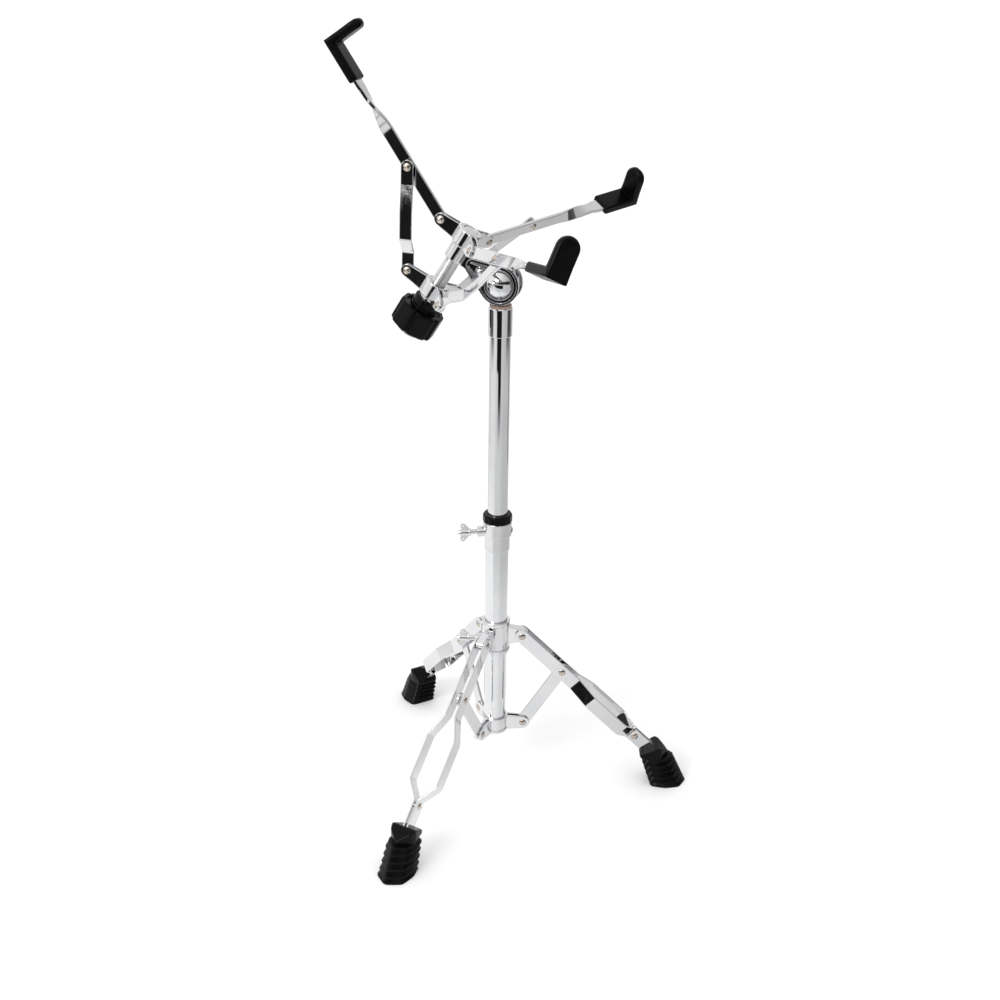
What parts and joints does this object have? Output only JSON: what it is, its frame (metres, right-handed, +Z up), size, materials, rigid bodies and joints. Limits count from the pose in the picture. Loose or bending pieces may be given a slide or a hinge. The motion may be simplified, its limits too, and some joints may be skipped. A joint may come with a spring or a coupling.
{
  "type": "snare drum stand",
  "caption": "Folding tripod stand with a sliding mast, a ball tilter and a three-arm screw-clamped basket that cradles a snare drum.",
  "frame": {"origin": "point on the floor under the mast axis", "axes": "+Z up the mast, +X along leg 1, +Y by the right hand"},
  "size_m": [0.4078, 0.41, 0.8533],
  "materials": {
    "chrome_tube": "polished chrome plating on tube",
    "chrome": "chrome plated pressed steel and castings",
    "dark_chrome": "dark nickel chrome plated casting",
    "rivet": "warm nickel plated rivet",
    "brass": "machined brass",
    "washer_plastic": "brown plastic",
    "black_plastic": "moulded black plastic",
    "rubber": "moulded black rubber"
  },
  "bodies": {
    "base": {"base_tube": "chrome_tube", "tube_plug": "black_plastic", "lower_hub": "chrome", "lower_hub_rivets": "rivet", "height_clamp": "chrome", "clamp_bushing": "black_plastic", "clamp_rivet": "rivet"},
    "leg_slider": {"leg_collar": "chrome"},
    "leg_wing": {"leg_wing_bolt": "chrome"},
    "height_wing": {"height_wing_bolt": "chrome"},
    "mast": {"upper_tube": "chrome_tube", "mast_sleeve": "chrome_tube", "sleeve_washer": "washer_plastic"},
    "ball": {"ball_stud": "chrome_tube"},
    "tilter": {"tilter_cheek_front": "dark_chrome", "tilter_cheek_rear": "dark_chrome", "arm_hub": "chrome", "arm_hub_rivets": "rivet", "basket_rod": "chrome", "rod_end_washer": "chrome"},
    "tilter_wing": {"tilter_wing_bolt": "chrome"},
    "slider": {"basket_slider": "chrome", "slider_rivets": "rivet"},
    "knob": {"basket_knob": "black_plastic", "knob_nut": "brass"},
    "leg_1": {"leg_1_strap_left": "chrome", "leg_1_strap_right": "chrome", "leg_1_rivets": "rivet", "leg_1_foot": "rubber"},
    "brace_1": {"brace_1": "chrome"},
    "leg_2": {"leg_2_strap_left": "chrome", "leg_2_strap_right": "chrome", "leg_2_rivets": "rivet", "leg_2_foot": "rubber"},
    "brace_2": {"brace_2": "chrome"},
    "leg_3": {"leg_3_strap_left": "chrome", "leg_3_strap_right": "chrome", "leg_3_rivets": "rivet", "leg_3_foot": "rubber"},
    "brace_3": {"brace_3": "chrome"},
    "arm_1": {"arm_1": "chrome", "arm_1_rivet": "rivet", "arm_1_grip_sleeve": "rubber", "arm_1_grip_pad": "rubber"},
    "link_1": {"link_1": "chrome"},
    "arm_2": {"arm_2": "chrome", "arm_2_rivet": "rivet", "arm_2_grip_sleeve": "rubber", "arm_2_grip_pad": "rubber"},
    "link_2": {"link_2": "chrome"},
    "arm_3": {"arm_3": "chrome", "arm_3_rivet": "rivet", "arm_3_grip_sleeve": "rubber", "arm_3_grip_pad": "rubber"},
    "link_3": {"link_3": "chrome"}
  },
  "joints": [
    {"name": "mast_height", "type": "slide", "parent": "base", "child": "mast", "axis": [0, 0, 1], "range_m": [-0.197, 0.015]},
    {"name": "height_wing_turn", "type": "hinge", "parent": "base", "child": "height_wing", "pos_m": [0, 0, 0.33], "axis": [0.9848, 0.1736, 0], "continuous": true},
    {"name": "leg_collar_slide", "type": "slide", "parent": "base", "child": "leg_slider", "axis": [0, 0, 1], "range_m": [0, 0.03199]},
    {"name": "leg_wing_turn", "type": "hinge", "parent": "leg_slider", "child": "leg_wing", "pos_m": [0, 0, 0.1934], "axis": [1, 0, 0], "continuous": true},
    {"name": "leg_1_fold", "type": "hinge", "parent": "leg_slider", "child": "leg_1", "pos_m": [0.03, 0, 0.1989], "axis": [0, 1, 0], "range_deg": [0, 41]},
    {"name": "brace_1_swing", "type": "hinge", "parent": "base", "child": "brace_1", "pos_m": [0.0332, 0, 0.08065], "axis": [0, -1, 0], "range_deg": [0, 30.56]},
    {"name": "leg_2_fold", "type": "hinge", "parent": "leg_slider", "child": "leg_2", "pos_m": [-0.015, 0.02598, 0.1989], "axis": [-0.866, -0.5, 0], "range_deg": [0, 41]},
    {"name": "brace_2_swing", "type": "hinge", "parent": "base", "child": "brace_2", "pos_m": [-0.0166, 0.02875, 0.08065], "axis": [0.866, 0.5, 0], "range_deg": [0, 30.56]},
    {"name": "leg_3_fold", "type": "hinge", "parent": "leg_slider", "child": "leg_3", "pos_m": [-0.015, -0.02598, 0.1989], "axis": [0.866, -0.5, 0], "range_deg": [0, 41]},
    {"name": "brace_3_swing", "type": "hinge", "parent": "base", "child": "brace_3", "pos_m": [-0.0166, -0.02875, 0.08065], "axis": [-0.866, 0.5, 0], "range_deg": [0, 30.56]},
    {"name": "ball_turn", "type": "hinge", "parent": "mast", "child": "ball", "pos_m": [0, 0, 0.6062], "axis": [0, 0, 1], "continuous": true},
    {"name": "basket_tilt", "type": "hinge", "parent": "ball", "child": "tilter", "pos_m": [0, 0, 0.6062], "axis": [0.2521, 0.9677, 0], "range_deg": [-36, 115]},
    {"name": "tilter_wing_turn", "type": "hinge", "parent": "tilter", "child": "tilter_wing", "pos_m": [-0.01854, 0.00483, 0.61799], "axis": [0.2521, 0.9677, 0], "continuous": true},
    {"name": "arm_1_fold", "type": "hinge", "parent": "tilter", "child": "arm_1", "pos_m": [-0.06061, 0.01579, 0.6668], "axis": [0.2521, 0.9677, 0], "range_deg": [0, 55.3]},
    {"name": "link_1_swing", "type": "hinge", "parent": "arm_1", "child": "link_1", "pos_m": [-0.09272, 0.02415, 0.71655], "axis": [-0.2521, -0.9677, 0], "range_deg": [0, 29.83]},
    {"name": "arm_2_fold", "type": "hinge", "parent": "tilter", "child": "arm_2", "pos_m": [-0.02874, -0.02052, 0.6422], "axis": [-0.8398, -0.2979, 0.4538], "range_deg": [0, 55.3]},
    {"name": "link_2_swing", "type": "hinge", "parent": "arm_2", "child": "link_2", "pos_m": [-0.00554, -0.07519, 0.64925], "axis": [0.8398, 0.2979, -0.4538], "range_deg": [0, 29.83]},
    {"name": "arm_3_fold", "type": "hinge", "parent": "tilter", "child": "arm_3", "pos_m": [-0.01508, 0.03194, 0.6422], "axis": [0.5878, -0.6698, -0.4538], "range_deg": [0, 55.3]},
    {"name": "link_3_swing", "type": "hinge", "parent": "arm_3", "child": "link_3", "pos_m": [0.03184, 0.06834, 0.64925], "axis": [-0.5878, 0.6698, 0.4538], "range_deg": [0, 29.83]},
    {"name": "slider_travel", "type": "slide", "parent": "tilter", "child": "slider", "axis": [0.5071, -0.1321, 0.8517], "range_m": [0, 0.02041]},
    {"name": "knob_turn", "type": "hinge", "parent": "slider", "child": "knob", "pos_m": [-0.08831, 0.023, 0.56055], "axis": [0.5071, -0.1321, 0.8517], "range_deg": [0, 2450.16]}
  ],
  "couplings": [
    {"joint": "brace_1_swing", "follows": "leg_1_fold", "ratio": 0.74532},
    {"joint": "brace_2_swing", "follows": "leg_1_fold", "ratio": 0.74532},
    {"joint": "leg_2_fold", "follows": "leg_1_fold", "ratio": 1},
    {"joint": "brace_3_swing", "follows": "leg_1_fold", "ratio": 0.74532},
    {"joint": "leg_3_fold", "follows": "leg_1_fold", "ratio": 1},
    {"joint": "leg_collar_slide", "follows": "leg_1_fold", "m_per_rad": 0.0447},
    {"joint": "link_1_swing", "follows": "arm_1_fold", "ratio": 0.53948},
    {"joint": "arm_2_fold", "follows": "arm_1_fold", "ratio": 1},
    {"joint": "link_2_swing", "follows": "arm_1_fold", "ratio": 0.53948},
    {"joint": "arm_3_fold", "follows": "arm_1_fold", "ratio": 1},
    {"joint": "link_3_swing", "follows": "arm_1_fold", "ratio": 0.53948},
    {"joint": "slider_travel", "follows": "arm_1_fold", "m_per_rad": 0.021146},
    {"joint": "knob_turn", "follows": "arm_1_fold", "ratio": 44.289}
  ]
}
